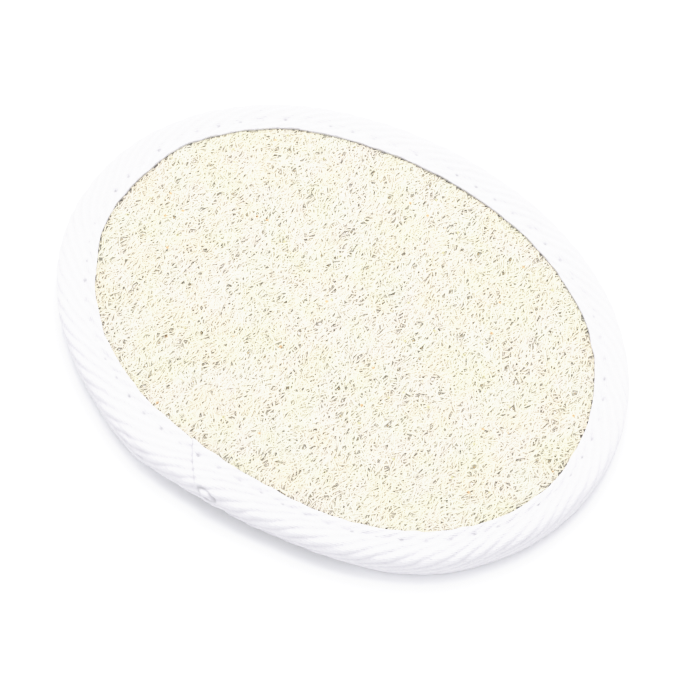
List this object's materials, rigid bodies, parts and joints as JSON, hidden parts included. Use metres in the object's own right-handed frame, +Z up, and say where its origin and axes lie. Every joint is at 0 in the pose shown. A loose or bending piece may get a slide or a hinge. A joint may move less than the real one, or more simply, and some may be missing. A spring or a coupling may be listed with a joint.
{
  "type": "loofah sponge pad",
  "caption": "Flat oval pad of natural loofah fibre, an open net on both faces, its edge bound with a folded twill cotton tape and sewn with a straight seam.",
  "frame": {"origin": "middle of the pad's bounding box, on the surface that it lies on", "axes": "+Z up through the flat pad, +X along the oval's long axis, +Y along its short axis"},
  "size_m": [0.1404, 0.1064, 0.0115],
  "materials": {
    "loofah_fibre": "dry vegetable fibre, cream, matte, with olive-brown pits",
    "cotton_tape": "bleached cotton twill, white, matte, diagonal ribs",
    "sewing_thread": "white polyester sewing thread, faint sheen"
  },
  "bodies": {
    "root": {"loofah_pad": "loofah_fibre", "binding_tape": "cotton_tape", "needle_thread": "sewing_thread", "bobbin_thread": "sewing_thread"}
  },
  "joints": []
}
